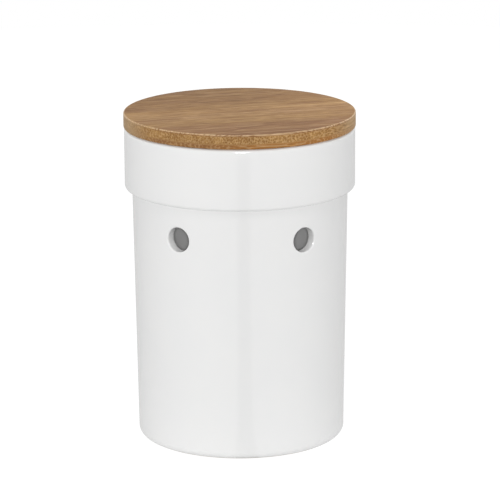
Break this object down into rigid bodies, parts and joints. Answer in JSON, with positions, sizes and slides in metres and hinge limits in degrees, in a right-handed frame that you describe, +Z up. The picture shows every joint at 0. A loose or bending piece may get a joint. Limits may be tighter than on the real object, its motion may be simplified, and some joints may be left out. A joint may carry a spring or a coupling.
{
  "type": "onion jar",
  "caption": "Tall white glazed stoneware storage jar with a wide collar, vent holes round its body, and a round bamboo lid that plugs into the mouth on a silicone seal ring.",
  "frame": {"origin": "centre of the foot, on the surface that the jar stands on", "axes": "+Z up along the jar's axis; -Y is the front, midway between the front pair of vents; +X is to the right seen from the front"},
  "size_m": [0.15, 0.15, 0.2149],
  "materials": {
    "glaze": "glossy white glaze, unglazed foot ring",
    "bamboo": "caramel bamboo, laminated, fine sanded, thin satin oil",
    "plug_bamboo": "caramel bamboo, sanded",
    "silicone": "milky translucent silicone, satin"
  },
  "bodies": {
    "jar": {"jar_body": "glaze"},
    "seal": {"seal_ring": "silicone"},
    "lid": {"lid_board": "bamboo", "lid_plug": "plug_bamboo"}
  },
  "joints": [
    {"name": "lid_lift", "type": "slide", "parent": "jar", "child": "seal", "axis": [0, 0, 1], "range_m": [0, 0.15]},
    {"name": "lid_turn", "type": "hinge", "parent": "seal", "child": "lid", "pos_m": [0, 0, 0.2056], "axis": [0, 0, 1], "continuous": true}
  ]
}
